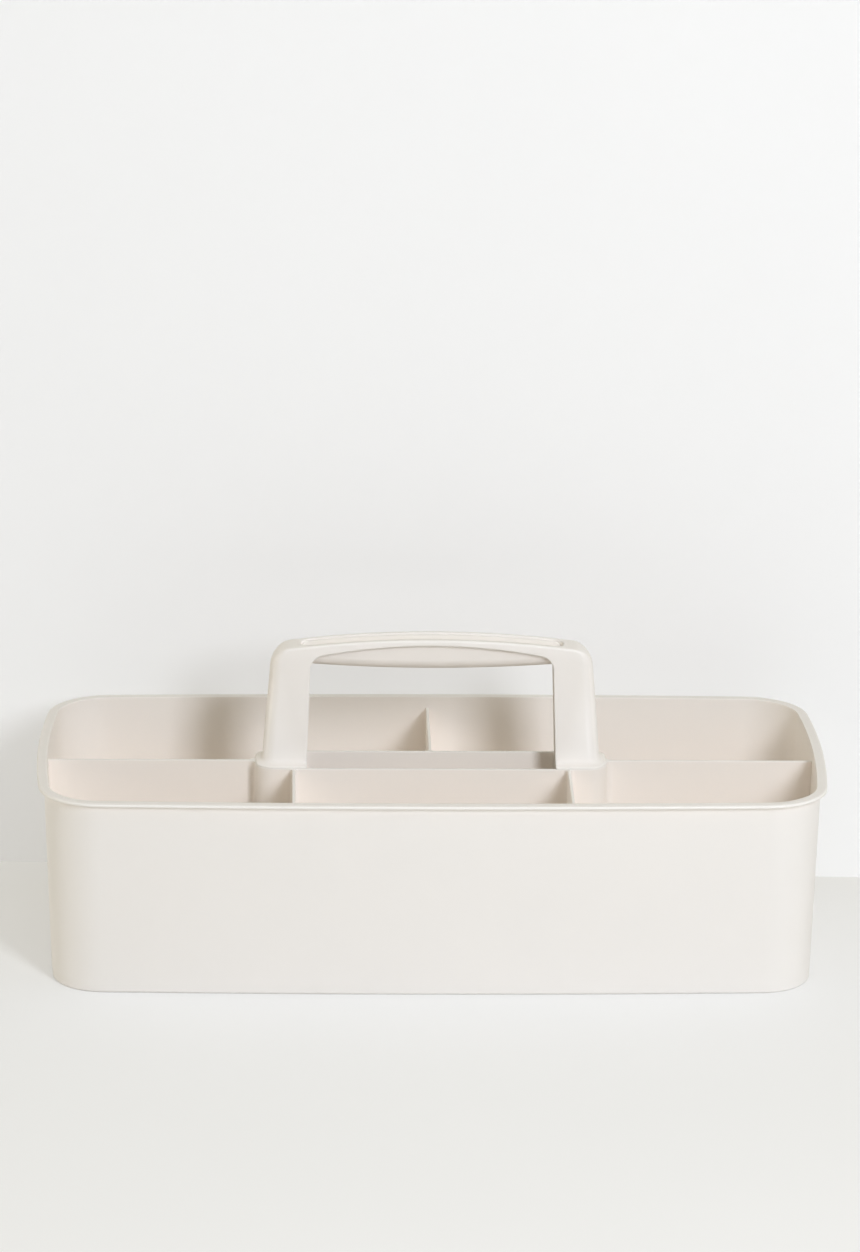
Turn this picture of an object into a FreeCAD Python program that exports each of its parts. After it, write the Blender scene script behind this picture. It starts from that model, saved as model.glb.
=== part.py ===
import FreeCAD, Part
import math
import os
import Sketcher

# Carry caddy: a thin-walled tub with moulded dividers, a handle clipped into the tub's
# centre block, and a boat-shaped grip pressed up into the handle's arch.
# Frame: +X along the length, +Y to the rear, +Z up, origin under the middle of the base.

doc = FreeCAD.newDocument("storage_caddy")

# Driving dimensions, in millimetres and degrees
SIZES = (
    # tub
    ("rim_length", 320.0),
    ("rim_depth", 150.0),
    ("tub_height", 81.2),
    ("rim_corner", 26.3),
    ("side_bow", 3.2),
    ("end_bow", 5.2),
    ("rim_overhang", 2.6),
    ("rim_thickness", 1.2),
    ("rim_round", 0.7),
    ("wall_thickness", 1.5),
    ("wall_draft", 1.85),
    ("floor_thickness", 1.8),
    ("foot_height", 0.8),
    ("foot_width", 7.0),
    ("bottom_bevel", 0.8),
    ("floor_bevel", 1.4),
    # dividers
    ("divider_drop", 4.9),
    ("divider_top", 1.1),
    ("divider_root", 1.9),
    ("divider_place", 55.9),
    ("divider_blend", 1.5),
    ("spine_blend", 3.6),
    # centre block, with a seat for a handle leg in each end
    ("block_length", 143.0),
    ("block_depth", 24.6),
    ("block_corner", 7.5),
    ("block_wall", 1.3),
    ("seat_height", 9.0),
    ("seat_plate", 1.8),
    ("seat_wall", 1.8),
    ("slot_corner", 2.0),
    # handle
    ("handle_height", 129.3),
    ("handle_depth", 14.0),
    ("arch_drop", 4.7),
    ("arch_corner", 9.5),
    ("opening_width", 98.2),
    ("opening_splay", 1.5),
    ("opening_corner", 6.0),
    ("lip_height", 2.4),
    ("lip_drop", 5.3),
    ("lip_thickness", 2.0),
    ("lip_round", 0.9),
    ("leg_wall", 1.8),
    ("leg_draft", 4.7),
    ("leg_round", 5.0),
    ("leg_clearance", 0.25),
    ("flange_inset", 0.2),
    ("flange_thickness", 0.5),
    ("flare_width", 2.45),
    ("flare_height", 1.7),
    ("flare_bend", 0.35),
    ("flare_tuck", 0.1),
    # barbed tongues on the legs
    ("tongue_width", 7.0),
    ("tongue_place", 58.0),
    ("tongue_thickness", 1.5),
    ("tongue_length", 24.0),
    ("tongue_slit", 1.0),
    ("barb_depth", 0.5),
    ("barb_height", 2.4),
    ("barb_clearance", 0.2),
    # grip
    ("window_corner", 4.5),
    ("grip_clearance", 0.12),
    ("grip_drop", 1.0),
    ("grip_middle", 13.4),
    ("belly_rise", 2.1),
    ("belly_round", 0.9),
    ("dish_depth", 1.5),
    ("dish_edge", 0.8),
    ("tail_length", 2.0),
    ("tail_depth", 4.6),
)

# Sizes and places that follow from them, so that pieces that meet share one value
FITS = (
    ("half_length", "sizes.rim_length / 2"),
    ("half_depth", "sizes.rim_depth / 2"),
    ("side_arc", "(half_length^2 + sizes.side_bow^2) / (2 * sizes.side_bow)"),
    ("end_arc", "(half_depth^2 + sizes.end_bow^2) / (2 * sizes.end_bow)"),
    ("wall_in", "sizes.rim_overhang + sizes.wall_thickness"),
    ("wall_middle", "sizes.rim_overhang + sizes.wall_thickness / 2"),
    ("foot_in", "sizes.rim_overhang + sizes.tub_height * tan(sizes.wall_draft) + sizes.foot_width"),
    ("floor_top", "sizes.foot_height + sizes.floor_thickness"),
    ("floor_middle", "sizes.foot_height + sizes.floor_thickness / 2"),
    ("block_top", "sizes.tub_height - sizes.divider_drop"),
    ("block_out", "sizes.block_length / 2"),
    ("block_half", "sizes.block_depth / 2"),
    ("well_out", "block_out - sizes.block_wall"),
    ("well_half", "block_half - sizes.block_wall"),
    ("well_corner", "sizes.block_corner - sizes.block_wall"),
    ("leg_reach", "block_top - sizes.seat_height"),
    ("leg_out", "well_out - sizes.leg_clearance"),
    ("leg_half", "well_half - sizes.leg_clearance"),
    ("leg_corner", "well_corner - sizes.leg_clearance"),
    ("opening_half", "sizes.opening_width / 2"),
    ("leg_in", "opening_half + sizes.opening_splay"),
    ("slot_out", "leg_in - sizes.seat_wall"),
    ("shoulder_z", "sizes.handle_height - sizes.arch_drop"),
    ("flange_out", "block_out - sizes.flange_inset"),
    ("flange_half", "block_half - sizes.flange_inset"),
    ("flange_corner", "sizes.block_corner - sizes.flange_inset"),
    ("flange_top", "block_top + sizes.flange_thickness"),
    ("flare_top", "flange_top + sizes.flare_height"),
    ("base_out", "flange_out - sizes.flare_width"),
    ("shoulder_out", "base_out - (shoulder_z - block_top) * tan(sizes.leg_draft)"),
    ("crown_half", "sizes.handle_depth / 2"),
    ("over_z", "sizes.handle_height + sizes.leg_wall"),
    ("arch_arc", "(shoulder_out^2 + sizes.arch_drop^2) / (2 * sizes.arch_drop)"),
    ("lip_end_z", "sizes.handle_height - sizes.lip_height - sizes.lip_drop"),
    ("lip_arc", "(opening_half^2 + sizes.lip_drop^2) / (2 * sizes.lip_drop)"),
    ("ceiling_z", "shoulder_z - sizes.leg_wall"),
    ("plate_under", "sizes.seat_height - sizes.seat_plate"),
    ("barb_top", "plate_under - sizes.barb_clearance"),
    ("barb_low", "barb_top - sizes.barb_height"),
    ("tongue_in", "leg_half - sizes.tongue_thickness"),
    ("barb_out", "leg_half + sizes.barb_depth"),
    ("tail_out", "shoulder_out - sizes.arch_corner"),
    ("window_out", "tail_out - sizes.tail_length"),
    ("window_half", "crown_half - sizes.lip_thickness"),
    ("grip_out", "window_out - sizes.grip_clearance"),
    ("grip_half", "window_half - sizes.grip_clearance"),
    ("grip_corner", "sizes.window_corner - sizes.grip_clearance"),
    ("tail_half", "grip_half - sizes.grip_clearance"),
    ("grip_top", "sizes.handle_height - sizes.grip_drop"),
    ("belly_z", "sizes.handle_height - sizes.grip_middle"),
    ("belly_arc", "(grip_out^2 + sizes.belly_rise^2) / (2 * sizes.belly_rise)"),
)

sizes = doc.addObject("Spreadsheet::Sheet", "sizes")
for row, (alias, size) in enumerate(SIZES, start=1):
    sizes.set(f"A{row}", alias)
    sizes.set(f"B{row}", str(size))
    sizes.setAlias(f"B{row}", alias)
doc.recompute()

fits = doc.addObject("Spreadsheet::Sheet", "fits")
for row, (alias, formula) in enumerate(FITS, start=1):
    fits.set(f"A{row}", alias)
    fits.set(f"B{row}", "=" + formula)
    fits.setAlias(f"B{row}", alias)
    doc.recompute()

NEAR = 0.01


def value(expression):
    """The number that an expression over the two sheets gives."""
    return float(sizes.evalExpression(str(expression)))


# Sketches

def new_body(name):
    return doc.addObject("PartDesign::Body", name)


def new_sketch(body, name, role, shift="0"):
    """A sketch on one of the body's own origin planes, moved along its normal."""
    sketch = body.newObject("Sketcher::SketchObject", name)
    plane = next(item for item in body.Origin.OriginFeatures if item.Role == role)
    sketch.AttachmentSupport = [(plane, "")]
    sketch.MapMode = "FlatFace"
    sketch.setExpression("AttachmentOffset.Base.z", shift)
    return sketch


def bind(sketch, name, constraint, expression):
    """Add a dimension and tie it to the sheets."""
    index = sketch.addConstraint(constraint)
    sketch.renameConstraint(index, name)
    sketch.setExpression(f"Constraints.{name}", expression)


def arc_between(start, end, radius, bulge):
    """The arc from start to end, under a half circle, bulging left (+1) or right (-1)."""
    middle = (start + end) * 0.5
    chord = end - start
    left = FreeCAD.Vector(-chord.y, chord.x, 0).normalize()
    centre = middle - left * bulge * math.sqrt(radius**2 - (chord.Length / 2) ** 2)
    tip = centre + left * bulge * radius
    return Part.Arc(start, tip, end)


def draw(sketch, corners, arcs=None):
    """A closed outline with each corner placed by its two expressions.

    arcs gives, for the stretch that starts at a corner, its radius and the side it bulges to.
    """
    arcs = arcs or {}
    points = [FreeCAD.Vector(value(across), value(up), 0) for across, up in corners]
    count = len(points)
    first = sketch.GeometryCount
    starts = []
    ends = []
    for index, point in enumerate(points):
        following = points[(index + 1) % count]
        if index not in arcs:
            sketch.addGeometry(Part.LineSegment(point, following))
            starts.append(1)
            ends.append(2)
            continue
        radius, bulge = arcs[index]
        sketch.addGeometry(arc_between(point, following, value(radius), bulge))
        begins_here = sketch.getPoint(first + index, 1).distanceToPoint(point) < NEAR
        starts.append(1 if begins_here else 2)
        ends.append(2 if begins_here else 1)
    for index, (across, up) in enumerate(corners):
        here = first + index
        after = first + (index + 1) % count
        sketch.addConstraint(
            Sketcher.Constraint("Coincident", here, ends[index], after, starts[(index + 1) % count]))
        point = points[index]
        bind(sketch, f"across_{here}",
             Sketcher.Constraint("DistanceX", -1, 1, here, starts[index], point.x), str(across))
        bind(sketch, f"up_{here}",
             Sketcher.Constraint("DistanceY", -1, 1, here, starts[index], point.y), str(up))
        if index in arcs:
            radius = arcs[index][0]
            bind(sketch, f"radius_{here}", Sketcher.Constraint("Radius", here, value(radius)), radius)


def draw_box(sketch, left, right, low, high):
    draw(sketch, [(left, low), (right, low), (right, high), (left, high)])


def draw_rounded(sketch, half_x, half_y, corner):
    """A rectangle about the origin with rounded corners."""
    flat_x = f"({half_x} - {corner})"
    flat_y = f"({half_y} - {corner})"
    outline = [
        (f"-{flat_x}", f"-({half_y})"), (flat_x, f"-({half_y})"),
        (half_x, f"-{flat_y}"), (half_x, flat_y),
        (flat_x, half_y), (f"-{flat_x}", half_y),
        (f"-({half_x})", flat_y), (f"-({half_x})", f"-{flat_y}"),
    ]
    draw(sketch, outline, {index: (corner, -1) for index in (1, 3, 5, 7)})


def draw_leg(sketch, side, inner, outer, half, corner):
    """A leg's section: square towards the opening, rounded on its outer side."""
    flat_x = f"{side} * ({outer} - {corner})"
    flat_y = f"({half} - {corner})"
    outline = [
        (f"{side} * ({inner})", f"-({half})"), (flat_x, f"-({half})"),
        (f"{side} * ({outer})", f"-{flat_y}"), (f"{side} * ({outer})", flat_y),
        (flat_x, half), (f"{side} * ({inner})", half),
    ]
    draw(sketch, outline, {1: (corner, -side), 3: (corner, -side)})


def draw_tub(sketch, inset):
    """The tub's outline, moved in by inset: bowed sides and ends, joined by round corners."""
    side_centre = value("fits.half_depth - fits.side_arc")
    end_centre = value("fits.half_length - fits.end_arc")
    corner_radius = value("sizes.rim_corner")
    to_side = value("fits.side_arc") - corner_radius
    to_end = value("fits.end_arc") - corner_radius
    # the corner's centre lies at known distances from the centres of a side and an end
    span = math.hypot(end_centre, side_centre)
    along = (to_side**2 - to_end**2 + span**2) / (2 * span)
    off = math.sqrt(to_side**2 - along**2)
    across = FreeCAD.Vector(end_centre, -side_centre, 0) / span
    square = FreeCAD.Vector(across.y, -across.x, 0)
    corner = FreeCAD.Vector(0, side_centre, 0) + across * along + square * off
    lean = math.atan2(corner.y - side_centre, corner.x)
    dip = math.atan2(corner.y, corner.x - end_centre)
    quarter = math.pi / 2

    def arc(x, y, name, start, end):
        radius = value(f"{name} - {inset}")
        circle = Part.Circle(FreeCAD.Vector(x, y, 0), FreeCAD.Vector(0, 0, 1), radius)
        return sketch.addGeometry(Part.ArcOfCircle(circle, start, end))

    rear = arc(0, side_centre, "fits.side_arc", lean, 2 * quarter - lean)
    rear_left = arc(-corner.x, corner.y, "sizes.rim_corner", 2 * quarter - lean, 2 * quarter - dip)
    left = arc(-end_centre, 0, "fits.end_arc", 2 * quarter - dip, 2 * quarter + dip)
    front_left = arc(-corner.x, -corner.y, "sizes.rim_corner", 2 * quarter + dip, 2 * quarter + lean)
    front = arc(0, -side_centre, "fits.side_arc", 2 * quarter + lean, 4 * quarter - lean)
    front_right = arc(corner.x, -corner.y, "sizes.rim_corner", -lean, -dip)
    right = arc(end_centre, 0, "fits.end_arc", -dip, dip)
    rear_right = arc(corner.x, corner.y, "sizes.rim_corner", dip, lean)
    ring = [rear, rear_left, left, front_left, front, front_right, right, rear_right]
    for here, after in zip(ring, ring[1:] + ring[:1]):
        sketch.addConstraint(Sketcher.Constraint("Tangent", here, 2, after, 1))
    for first, second in ((rear, front), (left, right), (rear_left, rear_right),
                          (rear_left, front_left), (rear_left, front_right)):
        sketch.addConstraint(Sketcher.Constraint("Equal", first, second))
    for name, item, size in (("side", rear, "fits.side_arc"), ("end", right, "fits.end_arc"),
                             ("corner", rear_left, "sizes.rim_corner")):
        radius = f"{size} - {inset}"
        bind(sketch, f"{name}_radius", Sketcher.Constraint("Radius", item, value(radius)), radius)
    for name, item, sign in (("rear", rear, ""), ("front", front, "-")):
        sketch.addConstraint(Sketcher.Constraint("PointOnObject", item, 3, -2))
        place = f"{sign}(fits.half_depth - fits.side_arc)"
        bind(sketch, name, Sketcher.Constraint("DistanceY", -1, 1, item, 3, value(place)), place)
    for name, item, sign in (("right", right, ""), ("left", left, "-")):
        sketch.addConstraint(Sketcher.Constraint("PointOnObject", item, 3, -1))
        place = f"{sign}(fits.half_length - fits.end_arc)"
        bind(sketch, name, Sketcher.Constraint("DistanceX", -1, 1, item, 3, value(place)), place)


# Features

def extrude(body, kind, name, sketch, length, taper="0", backward=False, both=False):
    feature = body.newObject(f"PartDesign::{kind}", name)
    feature.Profile = sketch
    feature.Reversed = backward
    if both:
        feature.SideType = "Symmetric"
    feature.setExpression("Length", length)
    feature.setExpression("TaperAngle", taper)
    doc.recompute()
    return feature


def pad(body, name, sketch, length, **options):
    return extrude(body, "Pad", name, sketch, length, **options)


def pocket(body, name, sketch, length, **options):
    return extrude(body, "Pocket", name, sketch, length, **options)


def edges_where(shape, test):
    return [f"Edge{index}" for index, edge in enumerate(shape.Edges, start=1) if test(edge)]


def dress_edges(body, kind, name, base, size_name, size, test):
    feature = body.newObject(f"PartDesign::{kind}", name)
    feature.Base = (base, edges_where(base.Shape, test))
    feature.setExpression(size_name, size)
    doc.recompute()
    return feature


def round_edges(body, name, base, radius, test):
    return dress_edges(body, "Fillet", name, base, "Radius", radius, test)


def bevel_edges(body, name, base, size, test):
    return dress_edges(body, "Chamfer", name, base, "Size", size, test)


def level(edge, height):
    """Whether a whole edge lies at one height."""
    box = edge.BoundBox
    return abs(box.ZMin - height) < NEAR and abs(box.ZMax - height) < NEAR


def stands_at(edge, places, reach):
    """Whether an edge runs up the object beside one of the places, given in X and Y."""
    box = edge.BoundBox
    if box.ZLength < 2 * max(box.XLength, box.YLength):
        return False
    centre = box.Center
    return any(math.hypot(centre.x - x, centre.y - y) < reach for x, y in places)


def runs_in_y_at(edge, places, reach):
    """Whether an edge runs front to back at one of the places, given in X and Z."""
    box = edge.BoundBox
    if box.YLength < 2 * max(box.XLength, box.ZLength):
        return False
    centre = box.Center
    return any(math.hypot(centre.x - x, centre.z - z) < reach for x, z in places)


def combine(kind, name, base, tool):
    feature = doc.addObject(f"Part::{kind}", name)
    feature.Base = base
    feature.Tool = tool
    feature.Refine = True
    doc.recompute()
    return feature


# Tub

def make_shell():
    """Floor, drafted walls and outward rim."""
    body = new_body("shell")
    height = value("sizes.tub_height")
    outside = new_sketch(body, "wall_outline", "XY_Plane", "sizes.tub_height")
    draw_tub(outside, "sizes.rim_overhang")
    pad(body, "walls", outside, "sizes.tub_height", taper="-sizes.wall_draft", backward=True)
    edge = new_sketch(body, "rim_outline", "XY_Plane", "sizes.tub_height")
    draw_tub(edge, "0")
    rim = pad(body, "rim", edge, "sizes.rim_thickness", backward=True)
    rounded = round_edges(body, "rim_edge", rim, "sizes.rim_round", lambda edge: level(edge, height))
    bevel_edges(body, "bottom_edge", rounded, "sizes.bottom_bevel", lambda edge: level(edge, 0))
    inside = new_sketch(body, "cavity_outline", "XY_Plane", "sizes.tub_height")
    draw_tub(inside, "fits.wall_in")
    cavity = pocket(body, "cavity", inside, "sizes.tub_height - fits.floor_top", taper="-sizes.wall_draft")
    floor_top = value("fits.floor_top")
    bevel_edges(body, "floor_edge", cavity, "sizes.floor_bevel", lambda edge: level(edge, floor_top))
    recess = new_sketch(body, "foot_outline", "XY_Plane")
    draw_tub(recess, "fits.foot_in")
    pocket(body, "underside", recess, "sizes.foot_height", backward=True)
    return body


def draw_divider(sketch, place):
    """A divider's section at a place along the sketch: thin on top, thicker at the floor."""
    draw(sketch, [
        (f"{place} - sizes.divider_root / 2", "fits.floor_middle"),
        (f"{place} + sizes.divider_root / 2", "fits.floor_middle"),
        (f"{place} + sizes.divider_top / 2", "fits.block_top"),
        (f"{place} - sizes.divider_top / 2", "fits.block_top"),
    ])


def make_dividers():
    """Centre block, lengthwise spine and cross dividers, with filleted crossings."""
    body = new_body("dividers")
    outline = new_sketch(body, "block_outline", "XY_Plane", "fits.block_top")
    draw_rounded(outline, "fits.block_out", "fits.block_half", "sizes.block_corner")
    pad(body, "block", outline, "fits.block_top - fits.floor_middle", backward=True)
    section = new_sketch(body, "spine_section", "YZ_Plane")
    draw_divider(section, "0")
    pad(body, "spine", section, "sizes.rim_length", both=True)
    section = new_sketch(body, "front_sections", "XZ_Plane")
    for side in (-1, 1):
        draw_divider(section, f"{side} * sizes.divider_place")
    pad(body, "front_dividers", section, "fits.half_depth")
    section = new_sketch(body, "rear_section", "XZ_Plane")
    draw_divider(section, "0")
    crossed = pad(body, "rear_divider", section, "fits.half_depth", backward=True)
    reach = value("sizes.divider_root")
    ends = [(side * value("fits.block_out"), 0) for side in (-1, 1)]
    blended = round_edges(body, "spine_blends", crossed, "sizes.spine_blend",
                          lambda edge: stands_at(edge, ends, reach))
    crossings = [(side * value("sizes.divider_place"), -value("fits.block_half")) for side in (-1, 1)]
    crossings.append((0, value("fits.block_half")))
    round_edges(body, "divider_blends", blended, "sizes.divider_blend",
                lambda edge: stands_at(edge, crossings, reach))
    well = new_sketch(body, "well_outline", "XY_Plane", "fits.block_top")
    draw_rounded(well, "fits.well_out", "fits.well_half", "fits.well_corner")
    pocket(body, "well", well, "fits.leg_reach")
    slot = new_sketch(body, "slot_outline", "XY_Plane", "fits.block_top")
    draw_rounded(slot, "fits.slot_out", "fits.well_half", "sizes.slot_corner")
    pocket(body, "slot", slot, "fits.block_top - fits.floor_top")
    return body


def make_trim():
    """The space inside the middle of the walls, which ends the dividers within the walls."""
    body = new_body("trim")
    outline = new_sketch(body, "trim_outline", "XY_Plane", "sizes.tub_height")
    draw_tub(outline, "fits.wall_middle")
    pad(body, "trim_block", outline, "sizes.tub_height", taper="-sizes.wall_draft", backward=True)
    return body


def make_seat_cuts():
    """What is cut from the floor under each handle leg: a hollow, and slots for the tongues."""
    body = new_body("seat_cuts")
    hollows = new_sketch(body, "hollow_outlines", "XY_Plane")
    for side in (-1, 1):
        draw_leg(hollows, side, "fits.leg_in", "fits.leg_out", "fits.barb_out + sizes.barb_clearance",
                 "fits.leg_corner")
    pad(body, "hollows", hollows, "fits.plate_under")
    slots = new_sketch(body, "slot_outlines", "XY_Plane")
    half = "(sizes.tongue_width / 2 + sizes.barb_clearance)"
    near = "fits.tongue_in - sizes.barb_depth - sizes.barb_clearance"
    far = "fits.leg_half + sizes.barb_clearance"
    for side in (-1, 1):
        place = f"{side} * sizes.tongue_place"
        draw_box(slots, f"{place} - {half}", f"{place} + {half}", near, far)
        draw_box(slots, f"{place} - {half}", f"{place} + {half}", f"-({far})", f"-({near})")
    pad(body, "tongue_slots", slots, "sizes.seat_height + sizes.floor_thickness")
    return body


def make_tub():
    inner = combine("Common", "trimmed_dividers", make_dividers(), make_trim())
    whole = combine("Fuse", "whole_tub", make_shell(), inner)
    return combine("Cut", "tub", whole, make_seat_cuts())


# Handle

def make_arch():
    """The handle seen from the front: two legs and the bridge between them, as a slab."""
    body = new_body("arch")
    outline = new_sketch(body, "arch_outline", "XZ_Plane")
    draw(outline, [
        ("-fits.base_out", "fits.block_top"), ("-fits.shoulder_out", "fits.shoulder_z"),
        ("fits.shoulder_out", "fits.shoulder_z"), ("fits.base_out", "fits.block_top"),
        ("fits.leg_in", "fits.block_top"), ("fits.opening_half", "fits.lip_end_z"),
        ("-fits.opening_half", "fits.lip_end_z"), ("-fits.leg_in", "fits.block_top"),
    ], {1: ("fits.arch_arc", 1), 5: ("fits.lip_arc", -1)})
    slab = pad(body, "arch_slab", outline, "sizes.handle_depth", both=True)
    shoulders = [(side * value("fits.shoulder_out"), value("fits.shoulder_z")) for side in (-1, 1)]
    rounded = round_edges(body, "shoulders", slab, "sizes.arch_corner",
                          lambda edge: runs_in_y_at(edge, shoulders, NEAR))
    springings = [(side * value("fits.opening_half"), value("fits.lip_end_z")) for side in (-1, 1)]
    round_edges(body, "springings", rounded, "sizes.opening_corner",
                lambda edge: runs_in_y_at(edge, springings, NEAR))
    return body


def soften_outline(slab):
    """Round the outer edge of the handle: fully on the legs, finely along the lips."""
    full = value("sizes.leg_round")
    fine = value("sizes.lip_round")
    beside = value("(fits.leg_in + fits.base_out) / 2")
    above = value("sizes.handle_height - sizes.lip_height / 2")
    foot = value("fits.block_top")
    corner_low = value("fits.shoulder_z - sizes.arch_corner")
    edges = []
    for index, edge in enumerate(slab.Shape.Edges, start=1):
        box = edge.BoundBox
        middle = edge.valueAt((edge.FirstParameter + edge.LastParameter) / 2)
        if level(edge, foot) or box.YLength > value("fits.crown_half"):
            continue
        if box.ZMax > above and box.XLength > beside:
            edges.append((index, fine, fine))
        elif abs(middle.x) > beside and middle.z < corner_low:
            edges.append((index, full, full))
        elif abs(middle.x) > beside:
            rises = edge.firstVertex(True).Point.z < edge.lastVertex(True).Point.z
            edges.append((index, full, fine) if rises else (index, fine, full))
    feature = doc.addObject("Part::Fillet", "soft_arch")
    feature.Base = slab
    feature.Edges = edges
    doc.recompute()
    return feature


def make_legs():
    """The shank of each leg inside the block, and the flange above it that rests on the block's rim."""
    body = new_body("legs")
    shanks = new_sketch(body, "shank_outlines", "XY_Plane", "fits.block_top")
    flanges = new_sketch(body, "flange_outlines", "XY_Plane", "fits.block_top")
    for side in (-1, 1):
        draw_leg(shanks, side, "fits.leg_in", "fits.leg_out", "fits.leg_half", "fits.leg_corner")
        draw_leg(flanges, side, "fits.leg_in", "fits.flange_out", "fits.flange_half", "fits.flange_corner")
    pad(body, "shanks", shanks, "fits.leg_reach", backward=True)
    pad(body, "flanges", flanges, "sizes.flange_thickness")
    for side, word in ((-1, "left"), (1, "right")):
        make_flare(body, side, word)
    return body


def make_flare(body, side, word):
    """The sweep of a leg out to its flange: a low slope, then a steep one that runs into the leg."""
    low = new_sketch(body, f"{word}_flare_foot", "XY_Plane", "fits.flange_top")
    draw_leg(low, side, "fits.leg_in", "fits.flange_out", "fits.flange_half", "fits.flange_corner")
    bend = new_sketch(body, f"{word}_flare_bend", "XY_Plane",
                      "fits.flange_top + sizes.flare_bend * sizes.flare_height")
    draw_leg(bend, side, "fits.leg_in", "(fits.base_out + sizes.flare_bend * sizes.flare_width)",
             "(fits.crown_half + sizes.flare_bend * (fits.flange_half - fits.crown_half))",
             "(sizes.leg_round + sizes.flare_bend * (fits.flange_corner - sizes.leg_round))")
    high = new_sketch(body, f"{word}_flare_head", "XY_Plane", "fits.flare_top")
    lean = "(fits.flare_top - fits.block_top) * tan(sizes.leg_draft)"
    draw_leg(high, side, "fits.leg_in", f"(fits.base_out - {lean} - sizes.flare_tuck)",
             "(fits.crown_half - sizes.flare_tuck)", "sizes.leg_round")
    flare = body.newObject("PartDesign::AdditiveLoft", f"{word}_flare")
    flare.Profile = low
    flare.Sections = [bend, high]
    flare.Ruled = True
    doc.recompute()


def make_leg_hollows():
    """The channel inside each leg above the block, open towards the hand opening."""
    body = new_body("leg_hollows")
    outline = new_sketch(body, "hollow_sides", "XZ_Plane")
    for side in (-1, 1):
        draw(outline, [
            (f"{side} * (fits.leg_in - sizes.leg_wall)", "fits.block_top"),
            (f"{side} * (fits.base_out - sizes.leg_wall)", "fits.block_top"),
            (f"{side} * (fits.shoulder_out - sizes.leg_wall)", "fits.ceiling_z"),
            (f"{side} * (fits.opening_half - sizes.leg_wall)", "fits.ceiling_z"),
        ])
    slab = pad(body, "hollow_slabs", outline, "sizes.handle_depth - 2 * sizes.leg_wall", both=True)
    tops = [(side * value("fits.shoulder_out - sizes.leg_wall"), value("fits.ceiling_z")) for side in (-1, 1)]
    round_edges(body, "hollow_corners", slab, "sizes.arch_corner - sizes.leg_wall",
                lambda edge: runs_in_y_at(edge, tops, NEAR))
    return body


def make_handle_cuts():
    """The channel inside each leg below the block's top, the slits beside the tongues, the top window."""
    body = new_body("handle_cuts")
    channels = new_sketch(body, "channel_outlines", "XY_Plane", "fits.block_top")
    for side in (-1, 1):
        draw_leg(channels, side, "fits.leg_in - sizes.leg_wall", "(fits.leg_out - sizes.leg_wall)",
                 "(fits.leg_half - sizes.leg_wall)", "(fits.leg_corner - sizes.leg_wall)")
    pad(body, "channels", channels, "fits.leg_reach + sizes.leg_wall", backward=True)
    slits = new_sketch(body, "slit_outlines", "XZ_Plane")
    for side in (-1, 1):
        for edge in (-1, 1):
            place = f"({side} * sizes.tongue_place + {edge} * (sizes.tongue_width + sizes.tongue_slit) / 2)"
            draw_box(slits, f"{place} - sizes.tongue_slit / 2", f"{place} + sizes.tongue_slit / 2",
                     "sizes.seat_height - sizes.leg_wall", "sizes.seat_height + sizes.tongue_length")
    pad(body, "slits", slits, "2 * fits.leg_half", both=True)
    window = new_sketch(body, "window_outline", "XY_Plane", "fits.belly_z")
    draw_rounded(window, "fits.window_out", "fits.window_half", "sizes.window_corner")
    pad(body, "window", window, "fits.over_z - fits.belly_z")
    return body


def make_tongues():
    """The barbed ends that pass through the seat and catch under it."""
    body = new_body("tongues")
    for side, word in ((-1, "left"), (1, "right")):
        section = new_sketch(body, f"{word}_barbs", "YZ_Plane", f"{side} * sizes.tongue_place")
        for face in (-1, 1):
            draw(section, [
                (f"{face} * fits.tongue_in", "sizes.seat_height + sizes.leg_wall"),
                (f"{face} * fits.leg_half", "sizes.seat_height + sizes.leg_wall"),
                (f"{face} * fits.leg_half", "fits.barb_top"),
                (f"{face} * fits.barb_out", "fits.barb_top"),
                (f"{face} * (fits.barb_out - sizes.tongue_thickness)", "fits.barb_low"),
                (f"{face} * fits.tongue_in", "fits.barb_low"),
            ])
        pad(body, f"{word}_tongues", section, "sizes.tongue_width", both=True)
    return body


def make_handle():
    solid = combine("Fuse", "solid_handle", soften_outline(make_arch()), make_legs())
    channelled = combine("Cut", "channelled_handle", solid, make_leg_hollows())
    opened = combine("Cut", "opened_handle", channelled, make_handle_cuts())
    return combine("Fuse", "handle", opened, make_tongues())


# Grip

def turn(body, kind, name, section, angle):
    """Turn a section about its own level axis, equally to both sides."""
    feature = body.newObject(f"PartDesign::{kind}", name)
    feature.Profile = section
    feature.ReferenceAxis = (section, ["H_Axis"])
    feature.Midplane = True
    feature.setExpression("Angle", angle)
    doc.recompute()
    return feature


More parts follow.
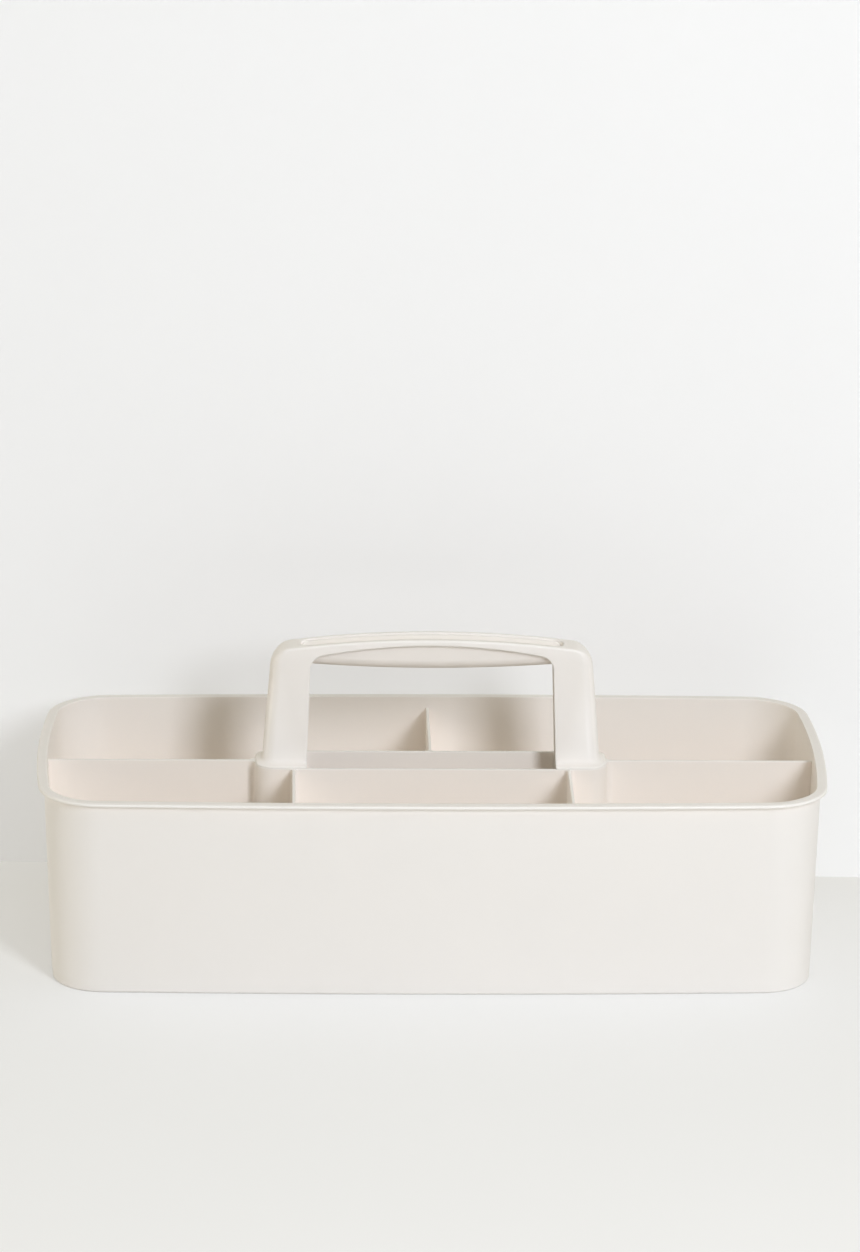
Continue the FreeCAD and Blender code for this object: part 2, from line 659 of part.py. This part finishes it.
def make_boat():
    """The bar along its length: a round belly that hangs lowest in the middle, and a dished top."""
    body = new_body("boat")
    belly = new_sketch(body, "belly_section", "YZ_Plane")
    belly.setExpression("AttachmentOffset.Base.y", "fits.belly_z + fits.belly_arc")
    keel = "(sizes.belly_round * fits.grip_half)"
    draw(belly, [
        ("-fits.grip_half", f"{keel} - fits.belly_arc"), ("fits.grip_half", f"{keel} - fits.belly_arc"),
        ("fits.grip_half", "fits.over_z - fits.belly_z - fits.belly_arc"),
        ("-fits.grip_half", "fits.over_z - fits.belly_z - fits.belly_arc"),
    ], {0: (f"(fits.grip_half^2 + {keel}^2) / (2 * {keel})", -1)})
    turn(body, "Revolution", "belly", belly, "2 * asin(fits.tail_out / fits.belly_arc)")
    dish = new_sketch(body, "dish_section", "YZ_Plane")
    dish.setExpression("AttachmentOffset.Base.y", "fits.grip_top - fits.arch_arc")
    brow = "(fits.grip_half - sizes.dish_edge)"
    beyond = "(fits.grip_half + sizes.dish_edge)"
    above = "(fits.arch_arc + sizes.grip_middle)"
    draw(dish, [
        (f"-{beyond}", "fits.arch_arc"), (f"-{brow}", "fits.arch_arc"), (brow, "fits.arch_arc"),
        (beyond, "fits.arch_arc"), (beyond, above), (f"-{beyond}", above),
    ], {1: (f"({brow}^2 + sizes.dish_depth^2) / (2 * sizes.dish_depth)", -1)})
    turn(body, "Groove", "dish", dish, "2 * asin(fits.tail_out / fits.arch_arc)")
    return body


def make_boat_plan():
    """The bar seen from above, rounded at its ends to sit in the window."""
    body = new_body("boat_plan")
    outline = new_sketch(body, "boat_outline", "XY_Plane")
    draw_rounded(outline, "fits.grip_out", "fits.grip_half", "fits.grip_corner")
    pad(body, "boat_prism", outline, "fits.over_z")
    return body


def make_tails():
    """A tail at each end, which bears up against the handle beside the window."""
    body = new_body("tails")
    for side, word in ((-1, "left"), (1, "right")):
        section = new_sketch(body, f"{word}_tail_section", "YZ_Plane",
                             f"{side} * (fits.grip_out - sizes.window_corner)")
        draw_box(section, "-fits.tail_half", "fits.tail_half", "fits.ceiling_z - sizes.tail_depth",
                 "fits.ceiling_z")
        pad(body, f"{word}_tail", section, "fits.tail_out - fits.grip_out + sizes.window_corner",
            backward=side < 0)
    return body


def make_grip():
    bar = combine("Common", "rounded_bar", make_boat(), make_boat_plan())
    return combine("Fuse", "grip_insert", bar, make_tails())


tub = make_tub()
handle = make_handle()
grip = make_grip()

# Checks before anything is written
pieces = [tub, handle, grip]
for item in doc.Objects:
    if "Invalid" in item.State or "Error" in item.State:
        raise RuntimeError(f"{item.Name} failed: {item.State}")
for piece in pieces:
    shape = piece.Shape
    if shape.isNull() or not shape.isValid():
        raise RuntimeError(f"{piece.Label} has no valid shape")
    print(piece.Label, len(shape.Solids), "solid", round(shape.Volume / 1000, 1), "cm3", shape.BoundBox)

os.makedirs("parts", exist_ok=True)
for piece in pieces:
    piece.Shape.exportStep(f"parts/{piece.Label}.step")
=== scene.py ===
import math

import bpy
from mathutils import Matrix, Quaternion, Vector

# Looks of the storage caddy: three moulded plastic pieces on a pale table, in front of a pale wall.
# Units are metres, and the frame is the part's own: +X along the length, +Y to the rear, +Z up.

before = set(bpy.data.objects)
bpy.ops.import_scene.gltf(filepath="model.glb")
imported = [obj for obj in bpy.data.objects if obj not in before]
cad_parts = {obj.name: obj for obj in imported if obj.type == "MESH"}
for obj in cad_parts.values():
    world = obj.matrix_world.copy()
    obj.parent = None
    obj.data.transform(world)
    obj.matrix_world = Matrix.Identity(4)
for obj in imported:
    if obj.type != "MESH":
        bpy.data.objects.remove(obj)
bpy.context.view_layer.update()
scene = bpy.context.scene


# Helpers for node trees

# Most of a noise lies between these two values.
NOISE_LOW = 0.3
NOISE_HIGH = 0.7


def new_tree(owner, output_kind):
    """The empty node tree of a material or world, with only its output."""
    owner.use_nodes = True
    tree = owner.node_tree
    tree.nodes.clear()
    output = tree.nodes.new(output_kind)
    return tree, output.inputs["Surface"]


def feed(tree, socket, given):
    """Link a socket to another one, or write a plain value into it."""
    if isinstance(given, bpy.types.NodeSocket):
        tree.links.new(given, socket)
    else:
        socket.default_value = given


def add_node(tree, kind, **inputs):
    """A node with some of its inputs fed by name, an underscore standing for a space."""
    node = tree.nodes.new(kind)
    for name, given in inputs.items():
        feed(tree, node.inputs[name.replace("_", " ")], given)
    return node


def calculate(tree, operation, *values):
    """The result of a sum on sockets and plain numbers."""
    node = tree.nodes.new("ShaderNodeMath")
    node.operation = operation
    for socket, given in zip(node.inputs, values):
        feed(tree, socket, given)
    return node.outputs["Value"]


def noise(tree, place, scale, detail):
    """Soft random patches from zero to one."""
    node = add_node(tree, "ShaderNodeTexNoise", Vector=place, Scale=scale, Detail=detail)
    return node.outputs["Fac"]


def ramp(tree, factor, stops):
    """A colour ramp with its stops as pairs of place and colour."""
    node = add_node(tree, "ShaderNodeValToRGB", Fac=factor)
    elements = node.color_ramp.elements
    while len(elements) < len(stops):
        elements.new(1.0)
    for element, (place, colour) in zip(elements, stops):
        element.position = place
        element.color = colour
    return node.outputs["Color"]


def spread(tree, factor, start, end, low, high):
    """A value that runs from start to end, moved into the range from low to high."""
    node = add_node(tree, "ShaderNodeMapRange", Value=factor, From_Min=start, From_Max=end,
                    To_Min=low, To_Max=high)
    return node.outputs["Result"]


def blend(tree, factor, first, second):
    """The first colour where the factor is zero, the second where it is one."""
    node = tree.nodes.new("ShaderNodeMix")
    node.data_type = "RGBA"
    colours = [socket for socket in node.inputs if socket.type == "RGBA"]
    feed(tree, node.inputs["Factor"], factor)
    feed(tree, colours[0], first)
    feed(tree, colours[1], second)
    return next(socket for socket in node.outputs if socket.type == "RGBA")


def mix_shaders(tree, factor, first, second):
    """The first shader where the factor is zero, the second where it is one."""
    node = add_node(tree, "ShaderNodeMixShader", Fac=factor)
    tree.links.new(first, node.inputs[1])
    tree.links.new(second, node.inputs[2])
    return node.outputs["Shader"]


def occlusion(tree, reach, samples, inside):
    """How open a place is within reach: outside the piece, or within its own thickness."""
    node = add_node(tree, "ShaderNodeAmbientOcclusion", Distance=reach)
    node.samples = samples
    node.inside = inside
    node.only_local = True
    return node.outputs["AO"]


def seen_ray(tree):
    """One where the camera, a reflection or a see-through piece looks at a surface, else zero."""
    path = tree.nodes.new("ShaderNodeLightPath")
    seen = path.outputs["Is Camera Ray"]
    for ray in ("Is Glossy Ray", "Is Transmission Ray"):
        seen = calculate(tree, "MAXIMUM", seen, path.outputs[ray])
    return seen


def object_place(tree):
    """The object's own coordinates."""
    return add_node(tree, "ShaderNodeTexCoord").outputs["Object"]


# Moulded plastic

# Painted highlight: the edge colour makes thin edges paler, as if they caught the light.
PAINTED_EDGE_HIGHLIGHT = (0.955, 0.927, 0.892, 1)
# Painted warm bounce light: the hollow, grip hollow and slot colours make enclosed places lighter and
# warmer than open ones.
PAINTED_BOUNCE_BEIGE = (0.93, 0.888, 0.845, 1)
GRIP_PAINTED_BOUNCE_BEIGE = (0.93, 0.875, 0.815, 1)
PAINTED_DEEP_BOUNCE_BEIGE = (0.985, 0.917, 0.852, 1)
SLOT_OPENNESS = 0.28
HOLLOW_OPENNESS = 0.45
HOLLOW_REACH = 0.09
HOLLOW_SAMPLES = 6
EDGE_REACH = 0.0009
EDGE_SAMPLES = 4
EDGE_BODY_SHARE = 0.15
THIN = 0.5
THICK = 0.95
MOTTLE_SCALE = 38.0
MOTTLE_SHARE = 0.12
GLOSS_SCALE = 120.0
GLOSS_PLAY = 0.04
GRAIN_SCALE = 2600.0
GRAIN_STRENGTH = 0.08
GRAIN_DEPTH = 0.0002
BEVEL_SAMPLES = 8
PLASTIC_IOR = 1.46


def plastic_colour_and_painted_light(tree, place, open_colour, painted_bounce_colour):
    """Own colour with painted light: painted warm bounce light makes the hollows lighter and warmer, and a
    painted highlight makes thin edges paler, all under a faint mottle.
    """
    mottle = noise(tree, place, MOTTLE_SCALE, detail=3)
    # Painted bounce light: the more enclosed a place, the lighter and warmer its colour.
    openness = occlusion(tree, HOLLOW_REACH, HOLLOW_SAMPLES, False)
    shade = calculate(tree, "MULTIPLY_ADD", mottle, -MOTTLE_SHARE, openness)
    stops = ((SLOT_OPENNESS, PAINTED_DEEP_BOUNCE_BEIGE), (HOLLOW_OPENNESS, painted_bounce_colour), (1.0, open_colour))
    body = ramp(tree, shade, stops)
    # Painted highlight: thin edges are turned towards the pale edge colour.
    thickness = occlusion(tree, EDGE_REACH, EDGE_SAMPLES, True)
    within = spread(tree, thickness, THIN, THICK, EDGE_BODY_SHARE, 1.0)
    return blend(tree, within, PAINTED_EDGE_HIGHLIGHT, body)


def plastic_normal(tree, place, edge_round):
    """Edges rounded in the shading, under a fine grain."""
    soft = add_node(tree, "ShaderNodeBevel", Radius=edge_round)
    soft.samples = BEVEL_SAMPLES
    grain = noise(tree, place, GRAIN_SCALE, detail=2)
    rough = add_node(tree, "ShaderNodeBump", Strength=GRAIN_STRENGTH, Distance=GRAIN_DEPTH, Height=grain,
                     Normal=soft.outputs["Normal"])
    return rough.outputs["Normal"]


def plastic(name, open_colour, painted_bounce_colour, roughness, edge_round):
    """Satin moulded plastic."""
    material = bpy.data.materials.new(name)
    tree, surface = new_tree(material, "ShaderNodeOutputMaterial")
    place = object_place(tree)
    colour = plastic_colour_and_painted_light(tree, place, open_colour, painted_bounce_colour)
    patches = noise(tree, place, GLOSS_SCALE, detail=2)
    gloss = spread(tree, patches, NOISE_LOW, NOISE_HIGH, roughness - GLOSS_PLAY, roughness + GLOSS_PLAY)
    normal = plastic_normal(tree, place, edge_round)
    shader = add_node(tree, "ShaderNodeBsdfPrincipled", Base_Color=colour, Roughness=gloss, Normal=normal,
                      IOR=PLASTIC_IOR)
    tree.links.new(shader.outputs["BSDF"], surface)
    return material


tub_plastic = plastic("tub_plastic", open_colour=(0.835, 0.811, 0.784, 1), painted_bounce_colour=PAINTED_BOUNCE_BEIGE,
                      roughness=0.42, edge_round=0.0006)
handle_plastic = plastic("handle_plastic", open_colour=(0.872, 0.846, 0.816, 1), painted_bounce_colour=PAINTED_BOUNCE_BEIGE,
                         roughness=0.42, edge_round=0.0012)
grip_plastic = plastic("grip_plastic", open_colour=(0.872, 0.836, 0.80, 1), painted_bounce_colour=GRIP_PAINTED_BOUNCE_BEIGE,
                       roughness=0.45, edge_round=0.0004)


# Shading of the pieces: the facets from model.glb are joined, and flat angles shaded smooth

JOIN_REACH = 0.000005
TUB_ANGLE = math.radians(35)
HANDLE_ANGLE = math.radians(62)


def smooth_by_angle(limit):
    """A modifier's node group that shades smooth across edges flatter than the limit."""
    group = bpy.data.node_groups.new("smooth_by_angle", "GeometryNodeTree")
    group.interface.new_socket("Geometry", in_out="INPUT", socket_type="NodeSocketGeometry")
    group.interface.new_socket("Geometry", in_out="OUTPUT", socket_type="NodeSocketGeometry")
    start = group.nodes.new("NodeGroupInput")
    end = group.nodes.new("NodeGroupOutput")
    plain = add_node(group, "GeometryNodeRemoveAttribute", Geometry=start.outputs["Geometry"],
                     Name="custom_normal")
    faces = add_node(group, "GeometryNodeSetShadeSmooth", Geometry=plain.outputs["Geometry"])
    faces.domain = "FACE"
    angle = group.nodes.new("GeometryNodeInputMeshEdgeAngle").outputs["Unsigned Angle"]
    sharp = add_node(group, "FunctionNodeCompare", A=angle, B=limit)
    sharp.operation = "GREATER_THAN"
    edges = add_node(group, "GeometryNodeSetShadeSmooth", Geometry=faces.outputs["Geometry"],
                     Selection=sharp.outputs["Result"], Shade_Smooth=False)
    edges.domain = "EDGE"
    group.links.new(edges.outputs["Geometry"], end.inputs["Geometry"])
    return group


def dress(node_name, material, smoothing):
    """Join the facets of a CAD node for shading, and give it its material."""
    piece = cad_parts[node_name]
    weld = piece.modifiers.new("join_facets", "WELD")
    weld.merge_threshold = JOIN_REACH
    shade = piece.modifiers.new("smooth", "NODES")
    shade.node_group = smoothing
    piece.data.materials.clear()
    piece.data.materials.append(material)


tub_smoothing = smooth_by_angle(TUB_ANGLE)
handle_smoothing = smooth_by_angle(HANDLE_ANGLE)
dress("tub", tub_plastic, tub_smoothing)
dress("handle", handle_plastic, handle_smoothing)
dress("grip_insert", grip_plastic, tub_smoothing)


# Table and wall, each seen only from its front

# The wall stands close behind the caddy and a little askew to it.
WALL_Y = 0.0848
WALL_TOP = 2.0
STAGE_TURN = math.radians(-2.95)
STAGE_REACH = 3.0
PALE_WHITE = (0.925, 0.925, 0.92, 1)
DEEP_WHITE = (0.915, 0.915, 0.91, 1)
CLOUD_SCALE = 9.0
GLOW_SHARE = 0.36


def matte_white(name, glow_colour, only_seen):
    """Matte white with a faint glow of its own, so that shadows on it stay pale.

    It lets the view through from behind, so that every side of the caddy can be looked at, and a
    sheet that is only seen takes no light away from the caddy.
    """
    material = bpy.data.materials.new(name)
    tree, surface = new_tree(material, "ShaderNodeOutputMaterial")
    cloud = noise(tree, object_place(tree), CLOUD_SCALE, detail=3)
    colour = ramp(tree, cloud, ((NOISE_LOW, DEEP_WHITE), (NOISE_HIGH, PALE_WHITE)))
    matte = add_node(tree, "ShaderNodeBsdfDiffuse", Color=colour).outputs["BSDF"]
    white = add_node(tree, "ShaderNodeEmission", Color=glow_colour).outputs["Emission"]
    clear = add_node(tree, "ShaderNodeBsdfTransparent").outputs["BSDF"]
    seen = seen_ray(tree)
    share = spread(tree, seen, 0.0, 1.0, 0.0, GLOW_SHARE)
    front = mix_shaders(tree, share, matte, white)
    if only_seen:
        front = mix_shaders(tree, seen, clear, front)
    behind = add_node(tree, "ShaderNodeNewGeometry").outputs["Backfacing"]
    tree.links.new(mix_shaders(tree, behind, front, clear), surface)
    return material


def make_sheet(name, corners, material):
    """A flat sheet from its four corners, turned with the stage."""
    mesh = bpy.data.meshes.new(name)
    mesh.from_pydata(corners, [], [(0, 1, 2, 3)])
    mesh.materials.append(material)
    sheet = bpy.data.objects.new(name, mesh)
    sheet.rotation_euler.z = STAGE_TURN
    scene.collection.objects.link(sheet)


table_white = matte_white("table_white", (0.87, 0.878, 0.88, 1), only_seen=False)
wall_white = matte_white("wall_white", (0.925, 0.935, 0.95, 1), only_seen=True)
make_sheet("table", [(-STAGE_REACH, -STAGE_REACH, 0), (STAGE_REACH, -STAGE_REACH, 0),
                     (STAGE_REACH, STAGE_REACH, 0), (-STAGE_REACH, STAGE_REACH, 0)], table_white)
make_sheet("wall", [(-STAGE_REACH, WALL_Y, 0), (STAGE_REACH, WALL_Y, 0),
                    (STAGE_REACH, WALL_Y, WALL_TOP), (-STAGE_REACH, WALL_Y, WALL_TOP)], wall_white)


# Light: a cool window and a glow on the right, a broad sheet overhead, a low warm fill on the left

LAMP_TARGET = Vector((0, 0, 0.05))
WORLD_WHITE = (1, 1, 1, 1)
WORLD_WARM = (1, 0.92, 0.72, 1)
WORLD_BLEND = 0.15


def direction(azimuth, elevation):
    """The way from the caddy to a place, by degrees to the right of straight ahead and above level."""
    turn = math.radians(azimuth)
    rise = math.radians(elevation)
    return Vector((math.sin(turn) * math.cos(rise), -math.cos(turn) * math.cos(rise), math.sin(rise)))


def make_lamp(name, azimuth, elevation, distance, width, height, power, colour):
    """An oblong lamp aimed at the caddy."""
    light = bpy.data.lights.new(name, "AREA")
    light.shape = "RECTANGLE"
    light.size = width
    light.size_y = height
    light.energy = power
    light.color = colour
    lamp = bpy.data.objects.new(name, light)
    scene.collection.objects.link(lamp)
    away = direction(azimuth, elevation)
    lamp.location = LAMP_TARGET + away * distance
    lamp.rotation_mode = "QUATERNION"
    lamp.rotation_quaternion = away.to_track_quat("Z", "Y")


def make_surroundings(front, rear, shown):
    """Warm light from all round, stronger on the wall's side, and shown to the camera as plain white."""
    world = bpy.data.worlds.new("surroundings")
    scene.world = world
    tree, surface = new_tree(world, "ShaderNodeOutputWorld")
    sky = add_node(tree, "ShaderNodeTexCoord").outputs["Generated"]
    rearward = add_node(tree, "ShaderNodeSeparateXYZ", Vector=sky).outputs["Y"]
    strength = spread(tree, rearward, -WORLD_BLEND, WORLD_BLEND, front, rear)
    light = add_node(tree, "ShaderNodeBackground", Color=WORLD_WARM, Strength=strength)
    plain = add_node(tree, "ShaderNodeBackground", Color=WORLD_WHITE, Strength=shown)
    both = mix_shaders(tree, seen_ray(tree), light.outputs["Background"], plain.outputs["Background"])
    tree.links.new(both, surface)


make_lamp("window", azimuth=22.5, elevation=28, distance=1.8, width=0.33, height=0.62, power=16.3,
          colour=(0.895, 0.93, 1.0))
make_lamp("overhead", azimuth=0, elevation=72, distance=2.4, width=1.8, height=1.8, power=10.8,
          colour=(0.92, 0.955, 1.0))
make_lamp("fill", azimuth=-85, elevation=8, distance=2.4, width=1.8, height=0.6, power=11.8,
          colour=(1.0, 0.92, 0.79))
make_lamp("right_glow", azimuth=78, elevation=30, distance=2.4, width=1.8, height=1.8, power=6.0,
          colour=(0.97, 0.975, 1.0))
make_surroundings(front=0.225, rear=0.52, shown=0.88)


# Camera

SENSOR_WIDTH = 36


def make_camera(distance, azimuth, elevation, tilt, pan, roll, lens):
    """A long lens in front of the caddy, a little above it; tilt raises its aim above the base."""
    data = bpy.data.cameras.new("camera")
    data.lens = lens
    data.sensor_width = SENSOR_WIDTH
    camera = bpy.data.objects.new("camera", data)
    scene.collection.objects.link(camera)
    back = direction(azimuth, elevation)
    camera.location = back * distance
    camera.rotation_mode = "QUATERNION"
    aim = back.to_track_quat("Z", "Y")
    lift = Quaternion((1, 0, 0), math.radians(tilt))
    swing = Quaternion((0, 1, 0), math.radians(-pan))
    lean = Quaternion((0, 0, 1), math.radians(roll))
    camera.rotation_quaternion = aim @ lift @ swing @ lean
    scene.camera = camera


make_camera(distance=2.475, azimuth=-1.39, elevation=19.67, tilt=2.959, pan=-0.02, roll=0.570, lens=172.7)
scene.view_settings.view_transform = "Standard"
